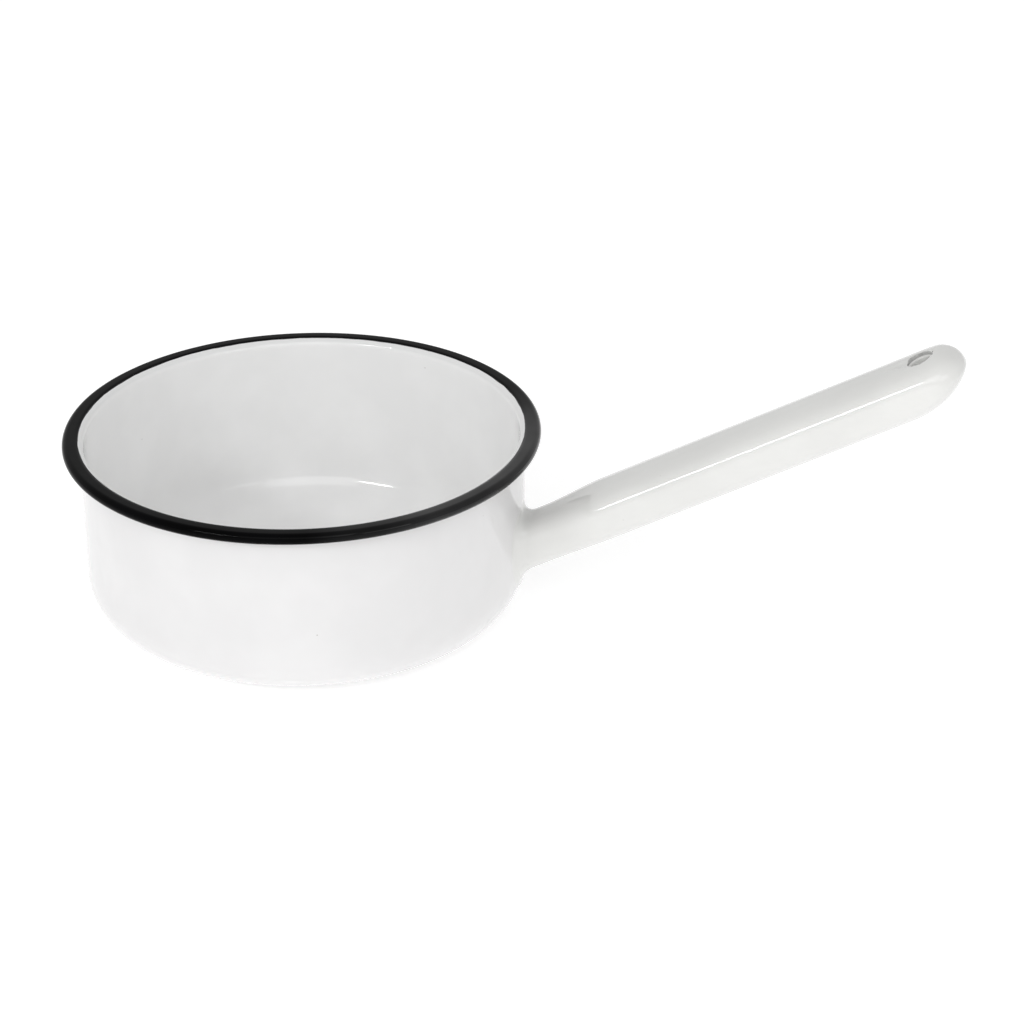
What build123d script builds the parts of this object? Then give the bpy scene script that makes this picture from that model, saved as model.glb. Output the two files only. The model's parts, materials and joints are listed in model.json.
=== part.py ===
from build123d import *
from math import acos, cos, degrees, radians, sin, sqrt, tan
import os

# Enamelled steel milk pan: a deep-drawn bowl with a curled rim, and a hollow handle of two welded
# pressings. Millimetres, +Z up. The origin is on the bowl's axis, at the plane that the foot stands
# on, and +X runs along the handle. Each node is one pressing, one weld or one fused coat of enamel.

# ---- driving dimensions: layers ----
BOWL_SHEET = 0.9  # steel of the bowl
HANDLE_SHEET = 0.8  # steel of the two handle pressings
GROUND = 0.1  # dark first coat of enamel, on the steel
GLAZE = 0.2  # white or black cover coat, on the ground coat
BASE_COAT = 0.2  # dark coat under the base, which has no cover coat
COAT = GROUND + GLAZE

# ---- driving dimensions: bowl and rim ----
BOWL_DIAMETER = 158.0  # over the finished wall
RIM_DIAMETER = 170.0  # over the finished curl
HEIGHT = 71.0  # from the foot to the crown of the rim
FOOT_WIDTH = 3.0  # flat ring that the pan stands on
BASE_RISE = 1.0  # the middle of the base stands clear of the table by this much
STEP_RADIUS = 4.0  # bends between the foot and the raised middle
SWEEP_RADIUS = 40.0  # wide lower bend of the bottom corner
SWEEP_TURN = 30.0  # degrees that the wide bend turns
BARE_TURN = 8.0  # degrees of it that only the base coat covers
CORNER_RADIUS = 17.0  # tighter upper bend of the bottom corner
FLARE_RADIUS = 2.0  # bend from the wall out to the crown, under the sheet
BORDER_TURN = 66.0  # degrees of the flare that the white coat covers, before the black
CURL_RADIUS = 0.85  # hollow inside the curl
TAIL = 1.6  # edge of the sheet, tucked back under the crown

# ---- driving dimensions: handle, measured from the seam between its two pressings ----
HANDLE_PITCH = 27.2  # degrees above level
HANDLE_HEIGHT = 32.6  # of the seam, where it meets the wall
HANDLE_LENGTH = 172.5  # from the wall to the nose
NECK_WIDTH = 19.0
NECK_CROWN = 7.3  # from the seam to the top
GRIP_WIDTH = 27.0
GRIP_CROWN = 8.0
KEEL = 11.0  # from the seam to the underside, all along
NECK_LENGTH = 8.5  # straight neck, before the swell
SWELL_LENGTH = 26.0  # where the neck widens to the grip
NOSE_SIDE_RUN = 13.5  # length over which the sides close to the nose
NOSE_CROWN_RUN = 9.0
NOSE_KEEL_RUN = 24.0
NOSE_KEEL_SHARPNESS = 1.5  # of the underside's curve up to the nose, where 1 is an ellipse
SWELL_STEPS = 8  # sections along the swell
GRIP_STEPS = 8  # sections along the grip
NOSE_TURNS = (15, 30, 42, 53, 62, 70, 77, 83)  # degrees round the nose of its sections
FULLNESS = 0.62  # of each quarter of the section, where 0.5523 is an ellipse
ROOT_FILLET = 4.5  # finished bend from the handle's sides to the wall
ROOT_TURN = 75.0  # degrees of that bend that the root weld fills
ROOT_STEPS = 5  # sections along it
SEAM_WIDTH = 1.4  # seam weld, across the joint
SEAM_SINK = 0.5  # depth of the seam weld in the pressings

# ---- driving dimensions: hanging eye and vent ----
EYE_FROM_NOSE = 14.0
EYE_RADIUS = 4.0  # finished bore
EYE_TOP = 3.0  # top of the straight bore, above the seam
EYE_LIP = 1.0  # the mouth is wider than the bore by this much
GROOVE_LENGTH = 12.0  # tapering groove from the eye towards the bowl
GROOVE_RADIUS = 3.4  # of the groove, where it runs into the eye
GROOVE_DROP = 0.8  # fall of the groove's axis over its length
VENT_RADIUS = 1.5  # lets the air out of the hollow handle when it is fired
VENT_FROM_NOSE = 26.0


# ---- the bowl's sheet, as one run of lines and bends ----


def direction(angle):
    return Vector(cos(radians(angle)), 0, sin(radians(angle)))


def wall_radius():
    """Steel outside of the wall."""
    return BOWL_DIAMETER / 2 - COAT


def point_on(run, share, offset):
    """A point at a share of a run, offset to its left, which is the inside of the bowl."""
    _, start, heading, turn, size = run
    if turn == 0:
        return start + direction(heading) * (size * share) + direction(heading + 90) * offset
    side = 1 if turn > 0 else -1
    centre = start + direction(heading + 90 * side) * size
    return centre - direction(heading + turn * share + 90 * side) * (size - side * offset)


def sheet_runs():
    """The outside face of the bowl's sheet, from the axis to the cut edge.

    A run is (name, start, heading, turn, size). A turn of 0 is a straight line of that size, and
    any other turn is a bend of that radius, in degrees, positive to the left.
    """
    step_turn = degrees(acos(1 - BASE_RISE / (2 * STEP_RADIUS)))
    step_run = 2 * STEP_RADIUS * sin(radians(step_turn))
    sweep_run = SWEEP_RADIUS * sin(radians(SWEEP_TURN))
    sweep_rise = SWEEP_RADIUS * (1 - cos(radians(SWEEP_TURN)))
    corner_run = CORNER_RADIUS * (1 - sin(radians(SWEEP_TURN)))
    corner_rise = CORNER_RADIUS * cos(radians(SWEEP_TURN))
    panel = wall_radius() - sweep_run - corner_run - FOOT_WIDTH - step_run
    crown_level = HEIGHT - COAT - BOWL_SHEET
    wall = crown_level - FLARE_RADIUS - sweep_rise - corner_rise - BASE_COAT
    curl_centre = RIM_DIAMETER / 2 - COAT - BOWL_SHEET - CURL_RADIUS
    steps = [
        ("panel", 0, panel),
        ("step", -step_turn, STEP_RADIUS),
        ("step", step_turn, STEP_RADIUS),
        ("foot", 0, FOOT_WIDTH),
        ("bare_sweep", BARE_TURN, SWEEP_RADIUS),
        ("sweep", SWEEP_TURN - BARE_TURN, SWEEP_RADIUS),
        ("corner", 90 - SWEEP_TURN, CORNER_RADIUS),
        ("wall", 0, wall),
        ("low_flare", -BORDER_TURN, FLARE_RADIUS),
        ("high_flare", BORDER_TURN - 90, FLARE_RADIUS),
        ("crown", 0, curl_centre - wall_radius() - FLARE_RADIUS),
        ("curl", -180, CURL_RADIUS),
        ("tail", 0, TAIL),
    ]
    runs = []
    at = Vector(0, 0, BASE_COAT + BASE_RISE)
    heading = 0.0
    for name, turn, size in steps:
        runs.append((name, at, heading, turn, size))
        at = point_on(runs[-1], 1.0, 0.0)
        heading += turn
    return runs


def chosen_runs(first, last):
    runs = sheet_runs()
    names = [run[0] for run in runs]
    return runs[names.index(first) : names.index(last) + 1]


def run_edge(run, offset):
    ends = [point_on(run, share, offset) for share in (0.0, 0.5, 1.0)]
    if run[3] == 0:
        return Edge.make_line(ends[0], ends[2])
    return Edge.make_three_point_arc(*ends)


def layer(first, last, low, high):
    """The ring between two offsets of the sheet's outside face, from one run to another."""
    runs = chosen_runs(first, last)
    faces = [run_edge(run, offset) for run in runs for offset in (low, high)]
    start = Edge.make_line(point_on(runs[0], 0.0, low), point_on(runs[0], 0.0, high))
    end = Edge.make_line(point_on(runs[-1], 1.0, low), point_on(runs[-1], 1.0, high))
    return revolve(make_face([*faces, start, end]), Axis.Z)


def filled_bowl(offset):
    """All that lies within an offset of the bowl's outside, from the foot to the top of the wall."""
    runs = chosen_runs("bare_sweep", "wall")
    low = point_on(runs[0], 0.0, offset)
    high = point_on(runs[-1], 1.0, offset)
    axis_low = Vector(0, 0, low.Z)
    axis_high = Vector(0, 0, high.Z)
    ends = [Edge.make_line(axis_low, low), Edge.make_line(high, axis_high)]
    axis = Edge.make_line(axis_high, axis_low)
    return revolve(make_face([run_edge(run, offset) for run in runs] + [*ends, axis]), Axis.Z)


# ---- the handle, in its own frame: X along the seam, Y across, Z up from the seam ----


def handle_location():
    """From the handle's frame to the bowl's."""
    along = Vector(cos(radians(HANDLE_PITCH)), 0, sin(radians(HANDLE_PITCH)))
    up = Vector(-sin(radians(HANDLE_PITCH)), 0, cos(radians(HANDLE_PITCH)))
    return Plane(origin=(BOWL_DIAMETER / 2, 0, HANDLE_HEIGHT), x_dir=along, z_dir=up).location


def loaf(plane, half, crown, keel):
    """A rounded section that is widest at its plane's X axis, with a low top and a deep underside."""
    quarters = []
    for side in (1, -1):
        for rise in (crown, -keel):
            points = [(side * half, 0), (side * half, rise * FULLNESS), (side * half * FULLNESS, rise)]
            quarters.append(Bezier(*[plane.from_local_coords(Vector(*point, 0)) for point in points],
                                   plane.from_local_coords(Vector(0, rise, 0))))
    return make_face(quarters)


def closing(station, run, depth):
    """The share of its size that a section keeps as it closes to the nose over a run."""
    gone = max(station - (HANDLE_LENGTH - run), 0.0) / (run - depth)
    return sqrt(max(1 - gone * gone, 0.0))


def handle_section(station, depth):
    share = min(max((station - NECK_LENGTH) / SWELL_LENGTH, 0.0), 1.0)
    swell = share * share * (3 - 2 * share)
    half = (NECK_WIDTH + (GRIP_WIDTH - NECK_WIDTH) * swell) / 2
    crown = NECK_CROWN + (GRIP_CROWN - NECK_CROWN) * swell
    plane = Plane(origin=(station, 0, 0), x_dir=(0, 1, 0), z_dir=(1, 0, 0))
    return loaf(
        plane,
        (half - depth) * closing(station, NOSE_SIDE_RUN, depth),
        (crown - depth) * closing(station, NOSE_CROWN_RUN, depth),
        (KEEL - depth) * closing(station, NOSE_KEEL_RUN, depth) ** NOSE_KEEL_SHARPNESS,
    )


def handle_body(depth):
    """The handle's filled shape, at a depth under its finished surface, without the eye."""
    start = -(KEEL + ROOT_FILLET) * tan(radians(HANDLE_PITCH)) - ROOT_FILLET
    grip = NECK_LENGTH + SWELL_LENGTH
    nose = HANDLE_LENGTH - NOSE_KEEL_RUN
    stations = [start, start / 2, 0.0]
    stations += [NECK_LENGTH + SWELL_LENGTH * step / SWELL_STEPS for step in range(SWELL_STEPS + 1)]
    stations += [grip + (nose - grip) * step / GRIP_STEPS for step in range(1, GRIP_STEPS + 1)]
    stations += [nose + (NOSE_KEEL_RUN - depth) * sin(radians(turn)) for turn in NOSE_TURNS]
    return handle_location() * loft([handle_section(station, depth) for station in stations])


def root_section(turn, depth):
    """The flare's section at a turn of its bend. At 0 degrees its sides lie on the round wall."""
    tilt = radians(HANDLE_PITCH)
    side = NECK_WIDTH / 2 + ROOT_FILLET
    wall_fall = BOWL_DIAMETER / 2 - sqrt((BOWL_DIAMETER / 2) ** 2 - side**2)
    growth = ROOT_FILLET * (1 - sin(radians(turn)))
    reach = ROOT_FILLET * (1 - cos(radians(turn))) - depth - wall_fall
    centre = (BOWL_DIAMETER / 2 + reach, 0, HANDLE_HEIGHT + reach * tan(tilt))
    half = NECK_WIDTH / 2 - depth + growth
    crown = (NECK_CROWN - depth) / cos(tilt) + growth
    keel = (KEEL - depth) / cos(tilt) + growth
    return loaf(Plane(origin=centre, x_dir=(0, 1, 0), z_dir=(1, 0, 0)), half, crown, keel)


def root_stub(depth):
    """The flare's outline on the wall, carried straight in through the wall."""
    return extrude(root_section(0.0, depth), amount=-2 * ROOT_FILLET)


def root_flare(depth):
    """The flare from the handle to the wall, filled, at a depth under the finished surface."""
    turns = [ROOT_TURN * step / ROOT_STEPS for step in range(ROOT_STEPS + 1)]
    return loft([root_section(turn, depth) for turn in turns]) + root_stub(depth)


def eye_tool(depth):
    """The air of the hanging eye and its groove, grown by a depth."""
    station = HANDLE_LENGTH - EYE_FROM_NOSE
    reach = KEEL + GRIP_CROWN
    bore = Cylinder(EYE_RADIUS + depth, 2 * reach)
    rise = GRIP_CROWN + ROOT_FILLET - EYE_TOP
    slope = EYE_LIP / (GRIP_CROWN - EYE_TOP)
    mouth = Pos(0, 0, EYE_TOP + rise / 2) * Cone(EYE_RADIUS + depth, EYE_RADIUS + depth + slope * rise, rise)
    run = Vector(-GROOVE_LENGTH, 0, GROOVE_DROP)
    plane = Plane(origin=(0, 0, GRIP_CROWN - GROOVE_DROP), z_dir=run)
    align = (Align.CENTER, Align.CENTER, Align.MIN)
    groove = plane.location * Cone(GROOVE_RADIUS + depth, depth + EYE_LIP / 4, run.length, align=align)
    return handle_location() * Pos(station, 0, 0) * (bore + mouth + groove)


def vent_tool():
    station = HANDLE_LENGTH - VENT_FROM_NOSE
    return handle_location() * Pos(station, 0, -KEEL) * Cylinder(VENT_RADIUS, KEEL)


def half_space(side):
    """The handle's side of the seam: 1 is above it, -1 below."""
    reach = 2 * HANDLE_LENGTH
    return handle_location() * Pos(0, 0, side * reach / 2) * Box(2 * reach, reach, reach)


def largest(shape):
    """The piece itself, without the crumbs that a cut along a curved face can leave."""
    return max(shape.solids(), key=lambda solid: solid.volume)


# ---- the pieces ----


def bowl_nodes():
    """The drawn bowl and its coats. The wall's coats leave room for the handle's root."""
    inside = BOWL_SHEET
    root = root_stub(0) + extrude(root_section(0.0, 0), amount=ROOT_FILLET)
    return {
        "bowl": layer("panel", "tail", 0, BOWL_SHEET),
        "base_coat": layer("panel", "bare_sweep", -BASE_COAT, 0),
        "ground_coat_inside": layer("panel", "tail", inside, inside + GROUND),
        "ground_coat_outside": largest(layer("sweep", "low_flare", -GROUND, 0) - root),
        "white_coat_inside": layer("panel", "low_flare", inside + GROUND, inside + COAT),
        "white_coat_outside": largest(layer("sweep", "low_flare", -COAT, -GROUND) - root),
        "black_rim_coat": layer("high_flare", "tail", inside + GROUND, inside + COAT),
    }


def handle_nodes():
    """The pressings, welds and coats of the handle, which all stop at the steel of the wall."""
    wall = filled_bowl(0)
    vent = vent_tool()
    inner = COAT + HANDLE_SHEET
    bodies = {depth: handle_body(depth) for depth in (0, GLAZE, COAT, COAT + SEAM_SINK, inner)}
    eyes = {depth: eye_tool(depth) for depth in bodies}
    pierced = {depth: bodies[depth] - eyes[depth] for depth in bodies}
    rooted = {depth: bodies[depth] + root_flare(depth) - eyes[depth] for depth in (0, GLAZE, COAT)}

    band = handle_location() * Box(2 * HANDLE_LENGTH + HEIGHT, GRIP_WIDTH * 2, SEAM_WIDTH)
    welds = (pierced[COAT] - pierced[COAT + SEAM_SINK]) & band
    eye_weld, seam_weld = sorted((welds - wall).solids(), key=lambda solid: solid.volume)[-2:]
    pressed = pierced[COAT] - pierced[inner] - wall - vent - seam_weld - eye_weld
    return {
        "handle_upper_shell": largest(pressed & half_space(1)),
        "handle_lower_shell": largest(pressed & half_space(-1)),
        "handle_seam_weld": seam_weld,
        "handle_eye_weld": eye_weld,
        "handle_root_weld": largest(rooted[COAT] - bodies[COAT] - wall),
        "handle_ground_coat": largest(rooted[GLAZE] - rooted[COAT] - wall - vent),
        "handle_white_coat": largest(rooted[0] - rooted[GLAZE] - wall - vent),
    }


def main():
    os.makedirs("parts", exist_ok=True)
    for name, shape in {**handle_nodes(), **bowl_nodes()}.items():
        shape.label = name
        export_step(shape, f"parts/{name}.step")


main()
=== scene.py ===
import json
from math import acos, asin, ceil, cos, degrees, pi, radians, sin, sqrt, tan

import bmesh
import bpy
from mathutils import Euler, Matrix, Vector


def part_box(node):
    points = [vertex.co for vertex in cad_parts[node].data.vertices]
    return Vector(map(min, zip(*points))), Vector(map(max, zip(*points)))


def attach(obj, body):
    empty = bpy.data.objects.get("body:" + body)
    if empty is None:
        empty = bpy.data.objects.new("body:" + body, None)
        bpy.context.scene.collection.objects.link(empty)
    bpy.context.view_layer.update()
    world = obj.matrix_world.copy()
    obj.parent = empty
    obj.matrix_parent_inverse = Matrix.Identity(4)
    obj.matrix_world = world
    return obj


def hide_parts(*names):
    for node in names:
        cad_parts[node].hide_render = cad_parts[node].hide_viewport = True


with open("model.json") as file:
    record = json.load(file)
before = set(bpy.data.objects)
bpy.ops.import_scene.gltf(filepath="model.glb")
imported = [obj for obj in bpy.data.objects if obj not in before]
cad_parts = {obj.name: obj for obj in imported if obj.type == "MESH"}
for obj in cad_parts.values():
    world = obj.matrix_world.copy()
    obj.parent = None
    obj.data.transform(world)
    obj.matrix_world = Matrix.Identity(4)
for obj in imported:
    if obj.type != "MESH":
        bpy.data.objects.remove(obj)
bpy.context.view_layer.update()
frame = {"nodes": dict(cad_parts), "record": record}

MM = 0.001


# ---- Outside of the bowl: white cover coat ----
# The wall and the bottom corner wear a white glass coat, poured over the dark ground coat of a
# deep-drawn steel bowl. It runs from a line under the bottom corner up into the flare of the rim.

RIM_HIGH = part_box("black_rim_coat")[1]
WALL_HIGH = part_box("white_coat_outside")[1]
SHEET = 0.9 * MM
COAT = 0.3 * MM
GROUND = 0.1 * MM
FLARE_RADIUS = 2.0 * MM
CURL_RADIUS = 0.85 * MM
RIM_RADIUS = RIM_HIGH.x
BORDER_TURN = 66.0
WALL_RADIUS = WALL_HIGH.x - (FLARE_RADIUS - COAT) * (1 - cos(radians(BORDER_TURN)))
HEIGHT = RIM_HIGH.z
SWEEP_RADIUS = 40.0 * MM
SWEEP_TURN = 30.0
BARE_TURN = 8.0
CORNER_RADIUS = 17.0 * MM
FOOT_WIDTH = 3.0 * MM
BASE_COAT = 0.2 * MM
BASE_RISE = 1.0 * MM
STEP_RADIUS = 4.0 * MM
TAIL = 1.6 * MM
FACET = 2.5 * MM
BEND_FACET = 5.0
ROUND_SIDES = 256
WELD_DISTANCE = 0.002 * MM
SHARP_ANGLE = radians(50)


def heading_vector(angle):
    return Vector((cos(radians(angle)), 0, sin(radians(angle))))


def walk(mesh, at, heading, steps):
    """Draws an outline from a point: each step is a straight (0, length), a bend (turn, radius)
    or a sharp corner (turn, 0)."""
    corner = mesh.verts.new(at)
    for turn, size in steps:
        if size == 0:
            heading += turn
        elif turn == 0:
            count = max(1, ceil(size / FACET))
            stride = heading_vector(heading) * (size / count)
            for _ in range(count):
                corner = bmesh.ops.extrude_vert_indiv(mesh, verts=[corner])["verts"][0]
                bmesh.ops.translate(mesh, verts=[corner], vec=stride)
        else:
            side = 1 if turn > 0 else -1
            centre = corner.co + heading_vector(heading + 90 * side) * size
            turned = bmesh.ops.spin(
                mesh, geom=[corner], cent=centre, axis=(0, -side, 0),
                angle=radians(abs(turn)), steps=max(2, ceil(abs(turn) / BEND_FACET)))
            corner = [
                part for part in turned["geom_last"] if isinstance(part, bmesh.types.BMVert)][0]
            heading += turn
    return corner


def sheet_steps(offset):
    """The bowl's sheet as named steps, at an offset of its steel outside, positive inwards."""
    step_turn = degrees(acos(1 - BASE_RISE / (2 * STEP_RADIUS)))
    step_run = 2 * STEP_RADIUS * sin(radians(step_turn))
    steel = WALL_RADIUS - COAT
    sweep_run = SWEEP_RADIUS * sin(radians(SWEEP_TURN))
    corner_run = CORNER_RADIUS * (1 - sin(radians(SWEEP_TURN)))
    sweep_rise = SWEEP_RADIUS * (1 - cos(radians(SWEEP_TURN)))
    corner_rise = CORNER_RADIUS * cos(radians(SWEEP_TURN))
    panel = steel - sweep_run - corner_run - FOOT_WIDTH - step_run
    wall = HEIGHT - COAT - SHEET - FLARE_RADIUS - sweep_rise - corner_rise - BASE_COAT
    crown = RIM_RADIUS - COAT - SHEET - CURL_RADIUS - steel - FLARE_RADIUS
    start = Vector((panel + step_run + FOOT_WIDTH, 0, BASE_COAT + offset))
    return {
        "start": start,
        "panel": (0, panel),
        "step_down": (-step_turn, STEP_RADIUS + offset),
        "step_level": (step_turn, STEP_RADIUS - offset),
        "foot": (0, FOOT_WIDTH),
        "bare_sweep": (BARE_TURN, SWEEP_RADIUS - offset),
        "sweep": (SWEEP_TURN - BARE_TURN, SWEEP_RADIUS - offset),
        "corner": (90 - SWEEP_TURN, CORNER_RADIUS - offset),
        "wall": (0, wall),
        "low_flare": (-BORDER_TURN, FLARE_RADIUS + offset),
        "high_flare": (BORDER_TURN - 90, FLARE_RADIUS + offset),
        "crown": (0, crown),
        "curl": (-180, CURL_RADIUS + offset),
        "tail": (0, TAIL),
    }


def lathe(mesh, thickness=0.0):
    """Turns an outline right round the bowl's axis, and thickens an open skin outwards."""
    bmesh.ops.spin(
        mesh, geom=mesh.verts[:] + mesh.edges[:], cent=(0, 0, 0), axis=(0, 0, 1),
        angle=2 * pi, steps=ROUND_SIDES, use_merge=True)
    bmesh.ops.remove_doubles(mesh, verts=mesh.verts[:], dist=WELD_DISTANCE)
    bmesh.ops.recalc_face_normals(mesh, faces=mesh.faces[:])
    if thickness:
        bmesh.ops.solidify(mesh, geom=mesh.faces[:], thickness=thickness)


def make_piece(name, mesh, material, slot, *replaced):
    """Finishes a piece: smooth faces, its glaze or metal, and its place in the assembly."""
    data = bpy.data.meshes.new(name)
    mesh.to_mesh(data)
    mesh.free()
    data.shade_smooth()
    data.set_sharp_from_angle(angle=SHARP_ANGLE)
    piece = bpy.data.objects.new(name, data)
    bpy.context.scene.collection.objects.link(piece)
    data.materials.append(material)
    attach(piece, "root")
    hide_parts(*replaced)
    return piece


class Shade:
    """A socket in a material, so that its maths reads as Python."""

    def __init__(self, tree, socket=None):
        self.tree = tree
        self.socket = socket

    def node(self, kind, values=(), output=0, stops=(), **settings):
        """Adds any node: settings first, then the values or links of its sockets."""
        made = self.tree.nodes.new(kind)
        for name, setting in settings.items():
            setattr(made, name, setting)
        for number, (place, colour) in enumerate(stops):
            if number > 1:
                made.color_ramp.elements.new(place)
            made.color_ramp.elements[number].position = place
            made.color_ramp.elements[number].color = (*colour, 1)
        for key, value in dict(values).items():
            if isinstance(value, Shade):
                self.tree.links.new(value.socket, made.inputs[key])
            else:
                made.inputs[key].default_value = value
        return Shade(self.tree, made.outputs[output])

    def maths(self, operation, *values):
        return self.node("ShaderNodeMath", enumerate(values), operation=operation)

    def __add__(self, other):
        return self.maths("ADD", self, other)

    def __sub__(self, other):
        return self.maths("SUBTRACT", self, other)

    def __rsub__(self, other):
        return self.maths("SUBTRACT", other, self)

    def __mul__(self, other):
        return self.maths("MULTIPLY", self, other)

    def __truediv__(self, other):
        return self.maths("DIVIDE", self, other)

    __radd__ = __add__
    __rmul__ = __mul__

    def clip(self):
        return self.node("ShaderNodeClamp", {0: self})

    def ramp(self, *stops):
        return self.node("ShaderNodeValToRGB", {0: self}, stops=stops)

    def blend(self, first, second):
        """Mixes two colours by this value."""
        sockets = {0: self, 6: first, 7: second}
        return self.node("ShaderNodeMix", sockets, output=2, data_type="RGBA")


def new_material(name):
    """An empty material, its Shade, and the object coordinates of the piece that wears it."""
    material = bpy.data.materials.new(name)
    material.use_nodes = True
    material.node_tree.nodes.clear()
    shade = Shade(material.node_tree)
    return material, shade, shade.node("ShaderNodeTexCoord", output=3)


def noise(shade, place, scale, detail=3.0):
    return shade.node("ShaderNodeTexNoise", {"Vector": place, "Scale": scale, "Detail": detail})


def finish_material(shade, values, height, strength, distance):
    """Joins the surface values and a height to the material's output."""
    bump = shade.node(
        "ShaderNodeBump", {"Strength": strength, "Distance": distance, "Height": height})
    surface = shade.node("ShaderNodeBsdfPrincipled", {**values, "Normal": bump})
    output = shade.tree.nodes.new("ShaderNodeOutputMaterial")
    shade.tree.links.new(surface.socket, output.inputs["Surface"])


# Painted shade: the outside's white is a darker copy of the one white glass, toned down for the
# well-lit wall.
SHADED_OUTSIDE_WHITE = (0.755, 0.75, 0.752)
THIN_SHARE = 0.95
SPECK = (0.42, 0.41, 0.39, 1)
THIN_WHITE = (0.72, 0.72, 0.72, 1)
RIM_BLACK = (0.012, 0.012, 0.013, 1)
# Painted shade: the grey of the dark ring round the eye's mouth.
EYE_SHADE_GREY = (0.09, 0.09, 0.095, 1)
INNER_RADIUS = WALL_RADIUS - SHEET - 2 * COAT
BORDER_WANDER = 0.5 * MM
EDGE_WANDER = 0.2 * MM
EDGE_WIDTH = 0.28 * MM
WHITE_BUMP = 0.12 * MM


def white_enamel(name, white, border_radius=None, edge=None):
    """Fired white glass: a slow ripple, a faint cloudiness, pinholes and rare specks.
    The dark ground shows where the glass thins over the rim's bend. Round a bore's mouth, a dark
    grey ring is painted shade."""
    material, shade, place = new_material(name)
    cloud = noise(shade, place, 38.0)
    ripple = noise(shade, place, 110.0, 2.0)
    peel = noise(shade, place, 900.0, 1.0)
    pits = shade.node("ShaderNodeTexVoronoi", {"Vector": place, "Scale": 160.0})
    rare = noise(shade, place, 70.0, 0.0)
    speck = ((0.045 - pits) * 60.0).clip() * ((rare - 0.70) * 30.0).clip()
    thin = tuple(part * THIN_SHARE for part in white)
    colour = ((cloud - 0.42) * 3.0).clip().blend((*thin, 1), (*white, 1))
    colour = speck.blend(colour, SPECK)
    rough = 0.07 + cloud * 0.06 + speck * 0.25
    if border_radius:
        radius = shade.node("ShaderNodeVectorMath", {0: place, 1: (1, 1, 0)}, operation="MULTIPLY")
        radius = shade.node("ShaderNodeVectorMath", {0: radius}, output=1, operation="LENGTH")
        bend = ((radius - INNER_RADIUS) * (2.0 / MM)).clip()
        colour = (bend * 0.7).blend(colour, THIN_WHITE)
        wander = noise(shade, place, 130.0, 2.0) * BORDER_WANDER
        border = ((radius + wander - border_radius) * (14.0 / MM)).clip()
        colour = border.blend(colour, RIM_BLACK)
    if edge:
        # Painted shade: a dark grey ring with a wandering edge round each mouth of the bore, where
        # the lip shades the hole.
        centre, axis, mouth = edge
        arm = shade.node("ShaderNodeVectorMath", {0: place, 1: centre}, operation="SUBTRACT")
        arm = shade.node("ShaderNodeVectorMath", {0: arm, 1: axis}, operation="CROSS_PRODUCT")
        arm = shade.node("ShaderNodeVectorMath", {0: arm}, output=1, operation="LENGTH")
        gap = shade.maths("ABSOLUTE", arm + ripple * EDGE_WANDER - mouth)
        eye_shade = (1.0 - gap * (1 / EDGE_WIDTH)).clip() * 0.6
        colour = eye_shade.blend(colour, EYE_SHADE_GREY)
    height = ripple * 0.6 + peel * 0.05 - speck * 0.5
    values = {"Base Color": colour, "Roughness": rough, "IOR": 1.52,
              "Coat Weight": 0.35, "Coat Roughness": 0.03}
    finish_material(shade, values, height, 0.35, WHITE_BUMP)
    return material


outside_glaze = white_enamel("white_enamel_outside", SHADED_OUTSIDE_WHITE)
steps = sheet_steps(-GROUND / 2)
guide = bmesh.new()
coat_start = walk(guide, steps["start"], 0, [steps["bare_sweep"]]).co.copy()
guide.free()
outside = bmesh.new()
walk(outside, coat_start, BARE_TURN, [
    steps[name] for name in ("sweep", "corner", "wall", "low_flare")])
lathe(outside, COAT - GROUND / 2)
make_piece("bowl_white_outside", outside, outside_glaze, "white_enamel", "white_coat_outside")


# ---- Inside of the bowl: white cover coat ----
# The inside wears the same white glass, but its colour is painted lighter than the outside's to
# stand in for light that the hollow does not get. It runs from the middle of the base up the wall
# to the border of the black rim, which is laid over its edge by hand and so wanders a little.

# Painted light: a lighter copy of the one white glass, to lift the shaded inside of the bowl.
LIT_INSIDE_WHITE = (0.925, 0.925, 0.922)

inside_offset = SHEET + COAT
flare_inside = FLARE_RADIUS + inside_offset
steps = sheet_steps(inside_offset)
inside_start = Vector((0, 0, BASE_COAT + BASE_RISE + inside_offset))
border_radius = (
    WALL_RADIUS - COAT + FLARE_RADIUS - flare_inside * cos(radians(BORDER_TURN)))
inside_glaze = white_enamel("white_enamel_inside", LIT_INSIDE_WHITE, border_radius)
inside = bmesh.new()
walk(inside, inside_start, 0, [steps[name] for name in (
    "panel", "step_down", "step_level", "foot", "bare_sweep", "sweep", "corner", "wall",
    "low_flare")])
lathe(inside, COAT - GROUND / 2)
make_piece("bowl_white_inside", inside, inside_glaze, "white_enamel", "white_coat_inside")


# ---- Rim: black coat ----
# The cut edge of the sheet is flared out, rolled into a bead and dipped in black glass, which
# covers the crown, the whole of the bead and its underside, and ends in a line inside the flare.

UNDER_COAT = 0.2 * MM
PIT_GREY = (0.06, 0.06, 0.06, 1)
GLOSS_FROM = 0.02
GLOSS_TO = 0.045
GLOSS_FADE = 0.04
RIM_BUMP = 0.25 * MM


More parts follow.
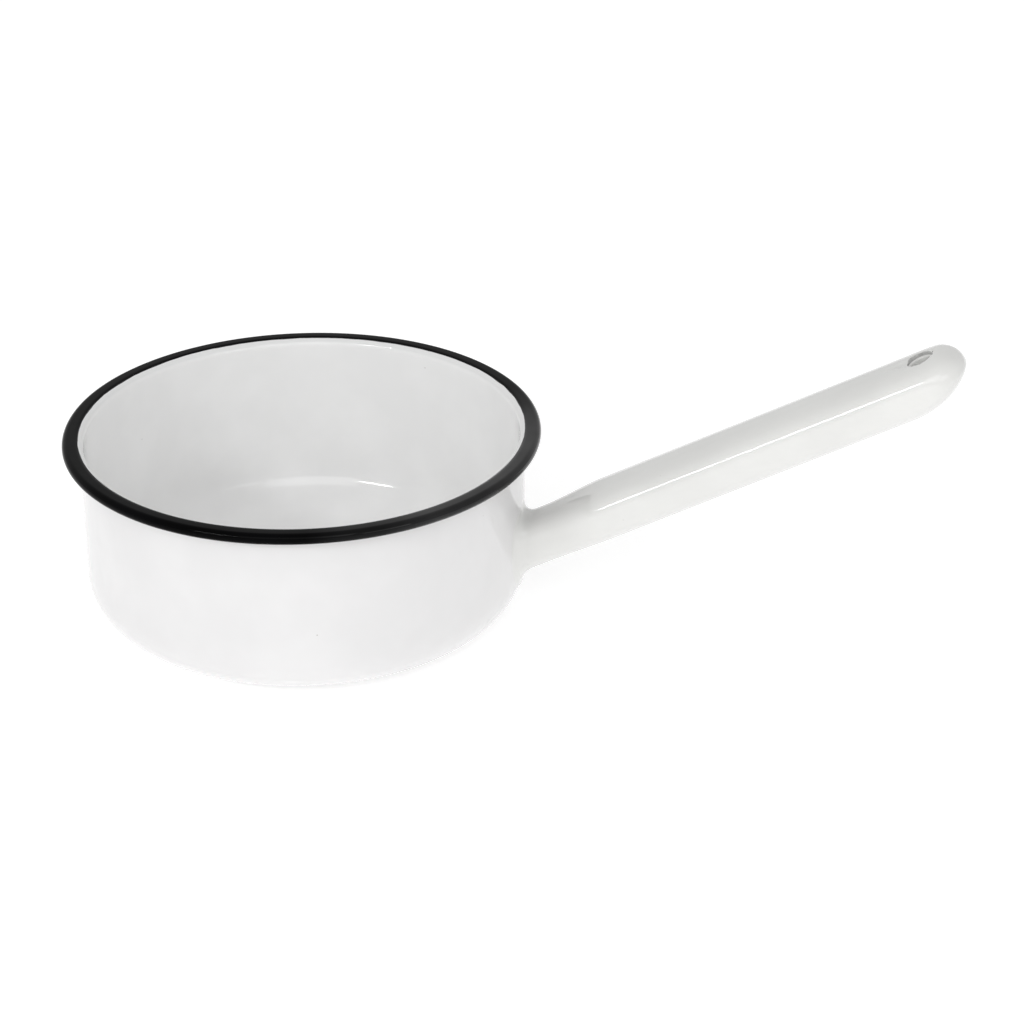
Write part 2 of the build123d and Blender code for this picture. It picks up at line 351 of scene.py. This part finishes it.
def black_enamel(name):
    """Fired black glass with sags and a few grey specks, glossier towards the handle."""
    material, shade, place = new_material(name)
    sag = noise(shade, place, 60.0, 2.0)
    fine = noise(shade, place, 700.0, 2.0)
    pits = shade.node("ShaderNodeTexVoronoi", {"Vector": place, "Scale": 300.0})
    pit = ((0.05 - pits) * 50.0).clip() * ((sag - 0.6) * 20.0).clip()
    colour = sag.ramp((0.3, (0.0004, 0.0004, 0.0004)), (0.75, (0.0014, 0.0014, 0.0018)))
    colour = pit.blend(colour, PIT_GREY)
    rough = 0.05 + sag * 0.07 + fine * 0.02
    along = shade.node("ShaderNodeSeparateXYZ", {0: place}, output=0)
    across = shade.node("ShaderNodeSeparateXYZ", {0: place}, output=1)
    gloss = ((along - GLOSS_FROM) * (1 / GLOSS_FADE)).clip()
    gloss = gloss * ((GLOSS_TO - across) * (1 / GLOSS_FADE)).clip() * (0.25 + sag * 0.6)
    values = {"Base Color": colour, "Roughness": rough, "Specular IOR Level": 0.04,
              "Coat Weight": gloss, "Coat Roughness": 0.06}
    finish_material(shade, values, sag + fine * 0.08 - pit * 0.4, 0.5, RIM_BUMP)
    return material


steps = sheet_steps(inside_offset)
border_height = HEIGHT - flare_inside * (1 - sin(radians(BORDER_TURN)))
rim_start = Vector((border_radius, 0, border_height))
tip_radius = (inside_offset + UNDER_COAT) / 2
hollow = CURL_RADIUS - UNDER_COAT
rim = bmesh.new()
rim_end = walk(rim, rim_start, 90 - BORDER_TURN, [
    steps["high_flare"], steps["crown"], steps["curl"], steps["tail"],
    (-180, tip_radius), steps["tail"], (180, hollow), steps["crown"],
    (90 - BORDER_TURN, FLARE_RADIUS - UNDER_COAT)])
rim.verts.ensure_lookup_table()
rim.edges.new((rim_end, rim.verts[0]))
lathe(rim)
make_piece("black_rim", rim, black_enamel("black_enamel"), "black_enamel", "black_rim_coat")


# ---- Base: dark coat ----
# The underside wears only the dark ground coat. It stands on a narrow ring, with the middle
# pressed up clear of the table, and the ring is rubbed a little where it slides on the hob.

RUBBED_HEIGHT = 0.35 * MM
SPECKLE_GREY = (0.09, 0.10, 0.12, 1)
RUBBED_GREY = (0.10, 0.10, 0.105, 1)
BASE_BUMP = 0.1 * MM
BASE_SKIN = BASE_COAT * 0.8


def base_enamel(name):
    """Blue-black ground glass, matt where the foot ring is rubbed, with fine grey speckle."""
    material, shade, place = new_material(name)
    cloud = noise(shade, place, 45.0, 4.0)
    speck = noise(shade, place, 1500.0, 1.0)
    height = shade.node("ShaderNodeSeparateXYZ", {0: place}, output=2)
    rubbed = (1.0 - height * (1 / RUBBED_HEIGHT)).clip() * ((cloud - 0.35) * 4.0).clip()
    colour = cloud.ramp((0.3, (0.010, 0.012, 0.018)), (0.7, (0.022, 0.026, 0.036)))
    colour = ((speck - 0.68) * 12.0).clip().blend(colour, SPECKLE_GREY)
    colour = (rubbed * 0.45).blend(colour, RUBBED_GREY)
    rough = 0.16 + cloud * 0.12 + rubbed * 0.35
    values = {"Base Color": colour, "Roughness": rough, "IOR": 1.5}
    finish_material(shade, values, cloud + speck * 0.1, 0.4, BASE_BUMP)
    return material


steps = sheet_steps(-BASE_COAT)
base = bmesh.new()
walk(base, Vector((0, 0, BASE_RISE)), 0, [
    steps[name] for name in ("panel", "step_down", "step_level", "foot", "bare_sweep")])
lathe(base, BASE_SKIN)
base_glaze = base_enamel("base_enamel")
make_piece("base_dark_coat", base, base_glaze, "ground_enamel", "base_coat")


# ---- Handle: white coat ----
# Two steel pressings are welded along their sides into a hollow handle, which is welded to the
# wall. The white coat rounds its root, its shoulders and the eye that it hangs from.

EYE = [mount for mount in frame["record"]["mounts"] if mount["name"] == "hanging_eye"][0]
PITCH = asin(-EYE["axis"][0])
EYE_FROM_NOSE = 14.0 * MM
NECK_HALF = 9.5 * MM
GRIP_HALF = 13.5 * MM
NECK_CROWN = 7.3 * MM
GRIP_CROWN = 8.0 * MM
KEEL = 11.0 * MM
NECK_LENGTH = 8.5 * MM
SWELL_LENGTH = 26.0 * MM
HANDLE_HEIGHT = 32.6 * MM
HANDLE_LENGTH = 172.5 * MM
NOSE_SIDE_RUN = 13.5 * MM
NOSE_CROWN_RUN = 9.0 * MM
NOSE_KEEL_RUN = 24.0 * MM
NOSE_KEEL_SHARPNESS = 1.5
ROOT_FILLET = 4.5 * MM
ROOT_RINGS = 10
STUB = 0.7 * MM
SECTION_SIDES = 128
PLAIN_FACET = 1.6 * MM
NOSE_FINE_RUN = 34 * MM
NOSE_RINGS = 60
NOSE_CROWDING = 1.7
TOP_FULLNESS = 2.7
KEEL_FULLNESS = 2.3
handle_place = Matrix.Translation((WALL_RADIUS, 0, HANDLE_HEIGHT))
handle_place = handle_place @ Matrix.Rotation(-PITCH, 4, "Y")


def ring_matrices(station, half, crown, keel, lean):
    """Places a unit ring at a station: its top, then its underside, leaning with the wall."""
    shear = Matrix.Identity(4)
    shear[0][2] = lean * tan(PITCH)
    along = Matrix.Translation((station, 0, 0)) @ shear
    return [along @ Matrix.Diagonal((1, half, rise, 1)) for rise in (crown, keel)]


def closing(station, run):
    """The share of its size that a section keeps as it closes to the nose."""
    gone = max(station - (HANDLE_LENGTH - run), 0.0) / run
    return sqrt(max(1 - gone * gone, 0.0))


def handle_rings():
    """The handle's sections, from inside the wall to just short of the nose."""
    rings = []
    for number in range(-1, ROOT_RINGS + 1):
        turn = radians(90 * max(number, 0) / ROOT_RINGS)
        growth = ROOT_FILLET * (1 - sin(turn))
        reach = ROOT_FILLET * (1 - cos(turn)) if number >= 0 else -STUB
        rise = growth * cos(PITCH)
        rings.append((
            reach / cos(PITCH), NECK_HALF + growth, NECK_CROWN + rise, KEEL + rise, 1.0))
    near = rings[-1][0]
    fine_from = HANDLE_LENGTH - NOSE_FINE_RUN
    plain = ceil((fine_from - near) / PLAIN_FACET)
    stations = [near + (fine_from - near) * number / plain for number in range(1, plain)]
    stations += [
        HANDLE_LENGTH - NOSE_FINE_RUN * (1 - number / NOSE_RINGS) ** NOSE_CROWDING
        for number in range(NOSE_RINGS)]
    for station in stations:
        share = min(max((station - NECK_LENGTH) / SWELL_LENGTH, 0.0), 1.0)
        swell = share * share * (3 - 2 * share)
        upright = (station - near) / (SWELL_LENGTH + NECK_LENGTH - near)
        lean = 1 - min(max(upright, 0.0), 1.0)
        rings.append((
            station,
            (NECK_HALF + (GRIP_HALF - NECK_HALF) * swell) * closing(station, NOSE_SIDE_RUN),
            (NECK_CROWN + (GRIP_CROWN - NECK_CROWN) * swell) * closing(station, NOSE_CROWN_RUN),
            KEEL * closing(station, NOSE_KEEL_RUN) ** NOSE_KEEL_SHARPNESS,
            lean))
    return rings


VENT_FROM_NOSE = 26.0 * MM
VENT_RADIUS = 1.5 * MM
VENT_LIP = 0.3 * MM
DISH_RADIUS = 5.0 * MM
GROOVE_HALF = 3.5 * MM
DISH_TAIL = 12.5 * MM
DISH_DEPTH = 1.5 * MM
DISH_FADE = 0.7
DISH_FLATNESS = 4
EYE_RADIUS = EYE["dims"]["r_mm"] * MM
LIP = 0.8 * MM
TOOL_REACH = 6 * MM


def press_eye(mesh, station):
    """Presses the teardrop dish round the eye, with its tail towards the bowl."""
    for vert in mesh.verts:
        back = station - vert.co.x
        if vert.co.z <= 0 or not -DISH_RADIUS < back < DISH_TAIL:
            continue
        taper = 1 - max(back, 0) / DISH_TAIL
        groove = GROOVE_HALF * taper if back > 0 else 0.0
        half = max(sqrt(max(DISH_RADIUS ** 2 - back ** 2, 0.0)), groove)
        if abs(vert.co.y) < half:
            spread = abs(vert.co.y) / half
            vert.co.z -= DISH_DEPTH * taper ** DISH_FADE * (1 - spread ** DISH_FLATNESS)


def pierce(piece, station, radius, lip, low, top):
    """Cuts a round hole across the handle, from low to top, with a rounded mouth at each end."""
    tool = bmesh.new()
    walk(tool, Vector((0, 0, low - TOOL_REACH)), 0, [
        (0, radius + lip), (90, 0), (0, TOOL_REACH), (90, 0), (-90, lip),
        (0, top - low - 2 * lip), (-90, lip), (90, 0), (0, TOOL_REACH), (90, 0),
        (0, radius + lip)])
    lathe(tool)
    bmesh.ops.translate(tool, verts=tool.verts[:], vec=(station, 0, 0))
    data = bpy.data.meshes.new("tool")
    tool.to_mesh(data)
    tool.free()
    cutter = bpy.data.objects.new("tool", data)
    bpy.context.scene.collection.objects.link(cutter)
    cut = piece.modifiers.new("cut", "BOOLEAN")
    cut.object = cutter
    cut.solver = "EXACT"
    bpy.context.view_layer.update()
    cut_piece = piece.evaluated_get(bpy.context.evaluated_depsgraph_get())
    pierced = bpy.data.meshes.new_from_object(cut_piece)
    piece.modifiers.clear()
    piece.data = pierced
    bpy.data.objects.remove(cutter)


def grow_ring(mesh, edges, before, after):
    """Carries the open end of the handle from one ring to the next."""
    grown = bmesh.ops.extrude_edge_only(mesh, edges=edges)["geom"]
    verts = [part for part in grown if isinstance(part, bmesh.types.BMVert)]
    place_ring(mesh, verts, before, after)
    return [part for part in grown if isinstance(part, bmesh.types.BMEdge)]


def place_ring(mesh, verts, before, after):
    """Moves a ring's verts from one section to another, the top half and the underside apart."""
    unit = [before[0].inverted() @ vert.co for vert in verts]
    tops = [vert for vert, local in zip(verts, unit) if local.z >= 0]
    lows = [vert for vert, local in zip(verts, unit) if local.z < 0]
    bmesh.ops.transform(mesh, verts=tops, matrix=after[0] @ before[0].inverted())
    bmesh.ops.transform(mesh, verts=lows, matrix=after[1] @ before[1].inverted())


# Painted shade: a darker, slightly yellower copy of the one white glass, toned to the shaded top
# of the handle.
SHADED_HANDLE_WHITE = (0.745, 0.745, 0.728)
WALL_FOLLOW_RUN = 15 * MM

handle = bmesh.new()
bmesh.ops.create_circle(handle, radius=1.0, segments=SECTION_SIDES)
bmesh.ops.rotate(handle, verts=handle.verts[:], matrix=Matrix(((0, 0, 1), (1, 0, 0), (0, 1, 0))))
for vert in handle.verts:
    power = 2 / (TOP_FULLNESS if vert.co.z > 0 else KEEL_FULLNESS)
    vert.co.y = abs(vert.co.y) ** power * (1 if vert.co.y > 0 else -1)
    vert.co.z = abs(vert.co.z) ** power * (1 if vert.co.z > 0 else -1)
ring_edges = handle.edges[:]
rings = [ring_matrices(*ring) for ring in handle_rings()]
place_ring(handle, handle.verts[:], [Matrix.Identity(4)] * 2, rings[0])
bmesh.ops.contextual_create(handle, geom=ring_edges)
for before, after in zip(rings, rings[1:]):
    ring_edges = grow_ring(handle, ring_edges, before, after)
nose_verts = list({vert for edge in ring_edges for vert in edge.verts})
bmesh.ops.pointmerge(handle, verts=nose_verts, merge_co=(HANDLE_LENGTH, 0, 0))
bmesh.ops.recalc_face_normals(handle, faces=handle.faces[:])
eye_station = HANDLE_LENGTH - EYE_FROM_NOSE
press_eye(handle, eye_station)
eye_mouth = (EYE["pos_m"], EYE["axis"], EYE_RADIUS + LIP)
handle_glaze = white_enamel("white_enamel_handle", SHADED_HANDLE_WHITE, edge=eye_mouth)
handle_piece = make_piece(
    "handle_white", handle, handle_glaze, "white_enamel", "handle_white_coat")
eye_low = -KEEL * closing(eye_station, NOSE_KEEL_RUN) ** NOSE_KEEL_SHARPNESS
pierce(handle_piece, eye_station, EYE_RADIUS, LIP, eye_low, GRIP_CROWN - DISH_DEPTH)
pierce(handle_piece, HANDLE_LENGTH - VENT_FROM_NOSE, VENT_RADIUS, VENT_LIP, -KEEL, -KEEL / 2)
handle_piece.data.transform(handle_place)
for vert in handle_piece.data.vertices:
    near = 1 - min(max((vert.co.x - WALL_RADIUS) / WALL_FOLLOW_RUN, 0.0), 1.0)
    sag = sqrt(WALL_RADIUS ** 2 - vert.co.y ** 2) - WALL_RADIUS
    vert.co.x += sag * near * near * (3 - 2 * near)
handle_piece.data.set_sharp_from_angle(angle=SHARP_ANGLE)


# ---- Under the glass: steel pressings, welds and ground coats ----
# The bowl and the handle are drawn from low-carbon steel sheet. Every face is first dipped in a
# dark ground glass, which holds the white and the black. None of it shows on a sound pan.

SHEET_TINT = 0.55
WELD_TINT = 0.42
STEEL_BUMP = 0.02 * MM


def drawn_steel(name, tint):
    """Pickled sheet steel: fine rolling grain and a slow change of shade."""
    material, shade, place = new_material(name)
    grain = shade.node("ShaderNodeVectorMath", {0: place, 1: (60, 900, 900)}, operation="MULTIPLY")
    grain = noise(shade, grain, 1.0, 2.0)
    cloud = noise(shade, place, 50.0, 2.0)
    pale = (tint, tint, tint * 1.02, 1)
    dark = (tint * 0.8, tint * 0.8, tint * 0.82, 1)
    colour = cloud.blend(pale, dark)
    values = {"Base Color": colour, "Metallic": 1.0, "Roughness": 0.3 + grain * 0.2}
    finish_material(shade, values, grain, 0.2, STEEL_BUMP)
    return material


sheet_metal = drawn_steel("drawn_steel", SHEET_TINT)
weld_metal = drawn_steel("weld_steel", WELD_TINT)
finishes = {
    "bowl": sheet_metal,
    "handle_upper_shell": sheet_metal,
    "handle_lower_shell": sheet_metal,
    "handle_seam_weld": weld_metal,
    "handle_eye_weld": weld_metal,
    "handle_root_weld": weld_metal,
    "ground_coat_inside": base_glaze,
    "ground_coat_outside": base_glaze,
    "handle_ground_coat": base_glaze,
}
for name, finish in finishes.items():
    node = frame["nodes"][name]
    node.data.materials.clear()
    node.data.materials.append(finish)


# ---- Studio: floor, lights and camera ----
# A plain pale floor under a soft sky, a wide lamp in front, a small one to the side and a thin
# strip that draws the highlight along the handle, with the camera a little above.

FLOOR_SIZE = 30.0
FLOOR_GLOW = 0.33
PAPER = (0.93, 0.93, 0.93, 1)
PAPER_PALE = (0.95, 0.95, 0.95, 1)
PAPER_BUMP = 0.1 * MM
SKY_STOPS = ((0.0, (0.72, 0.72, 0.72)), (0.3, (0.76, 0.76, 0.76)), (0.8, (0.68, 0.68, 0.68)))


def pale_floor(name):
    """Matt white paper that throws back a little light of its own."""
    material, shade, place = new_material(name)
    cloud = noise(shade, place, 3.0, 2.0)
    colour = cloud.blend(PAPER, PAPER_PALE)
    values = {"Base Color": colour, "Roughness": 0.9, "Specular IOR Level": 0.1,
              "Emission Color": (1, 1, 1, 1), "Emission Strength": FLOOR_GLOW}
    finish_material(shade, values, cloud, 0.05, PAPER_BUMP)
    return material


floor_mesh = bmesh.new()
bmesh.ops.create_grid(floor_mesh, x_segments=4, y_segments=4, size=FLOOR_SIZE / 2)
floor_data = bpy.data.meshes.new("floor")
floor_mesh.to_mesh(floor_data)
floor_mesh.free()
floor = bpy.data.objects.new("floor", floor_data)
floor_data.materials.append(pale_floor("floor_paper"))
bpy.context.scene.collection.objects.link(floor)

sky = bpy.data.worlds.new("sky")
sky.use_nodes = True
sky_shade = Shade(sky.node_tree)
heading = sky_shade.node("ShaderNodeTexCoord", output=0)
glow = sky_shade.node("ShaderNodeSeparateXYZ", {0: heading}, output=2).ramp(*SKY_STOPS)
sky.node_tree.links.new(glow.socket, sky.node_tree.nodes["Background"].inputs["Color"])
bpy.context.scene.world = sky


def soft_lamp(name, place, aim, size, watts):
    """A rectangular soft lamp that looks at a point on the pan."""
    lamp = bpy.data.lights.new(name, "AREA")
    lamp.shape = "RECTANGLE"
    lamp.size, lamp.size_y = size
    lamp.energy = watts
    holder = bpy.data.objects.new(name, lamp)
    holder.location = place
    holder.rotation_euler = (Vector(aim) - Vector(place)).to_track_quat("-Z", "Y").to_euler()
    bpy.context.scene.collection.objects.link(holder)


pan_middle = (0.06, 0.0, 0.05)
soft_lamp("front_lamp", (0.25, -1.45, 0.95), pan_middle, (1.5, 0.8), 4.6)
soft_lamp("strip_lamp", (-0.57, -1.02, 0.70), pan_middle, (0.42, 0.014), 2.5)
soft_lamp("side_lamp", (1.15, -0.95, 0.55), pan_middle, (0.6, 0.5), 1.0)

bpy.context.scene.view_settings.view_transform = "Standard"
camera_data = bpy.data.cameras.new("camera")
camera_data.lens = 117.28
camera_data.clip_end = 100.0
camera = bpy.data.objects.new("camera", camera_data)
camera.location = (0.2601, -1.0432, 0.5764)
camera.rotation_euler = Euler((radians(63.269), radians(0.560), radians(9.756)))
bpy.context.scene.collection.objects.link(camera)
bpy.context.scene.camera = camera
